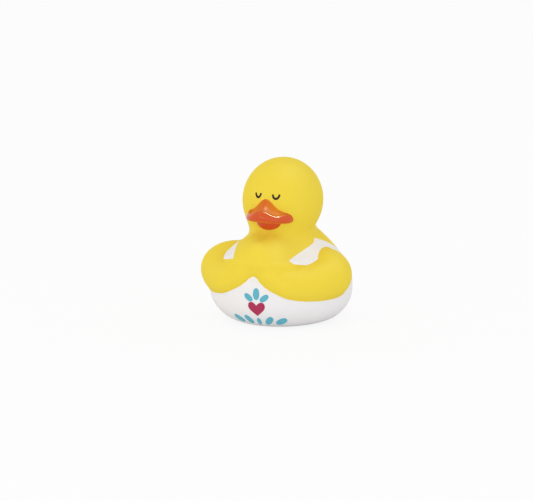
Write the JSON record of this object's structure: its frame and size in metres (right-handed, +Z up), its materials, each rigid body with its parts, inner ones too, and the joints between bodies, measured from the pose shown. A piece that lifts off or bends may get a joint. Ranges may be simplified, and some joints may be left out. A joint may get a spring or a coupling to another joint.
{
  "type": "rubber duck",
  "caption": "Hollow squeaking rubber duck in a painted tank top, eyes closed, wings pressed together before its breast, heart and leaves printed on the belly.",
  "frame": {"origin": "middle of the duck's outline seen from above, on the surface it stands on", "axes": "-Y is the way the duck faces, +X is towards its left wing, +Z is up"},
  "size_m": [0.0786, 0.0754, 0.0797],
  "materials": {
    "vinyl": "matt moulded vinyl, the tank top, bill, eyes and print painted on it",
    "squeaker_plastic": "moulded, milky"
  },
  "bodies": {
    "root": {"duck_body": "vinyl", "squeaker": "squeaker_plastic"}
  },
  "joints": []
}
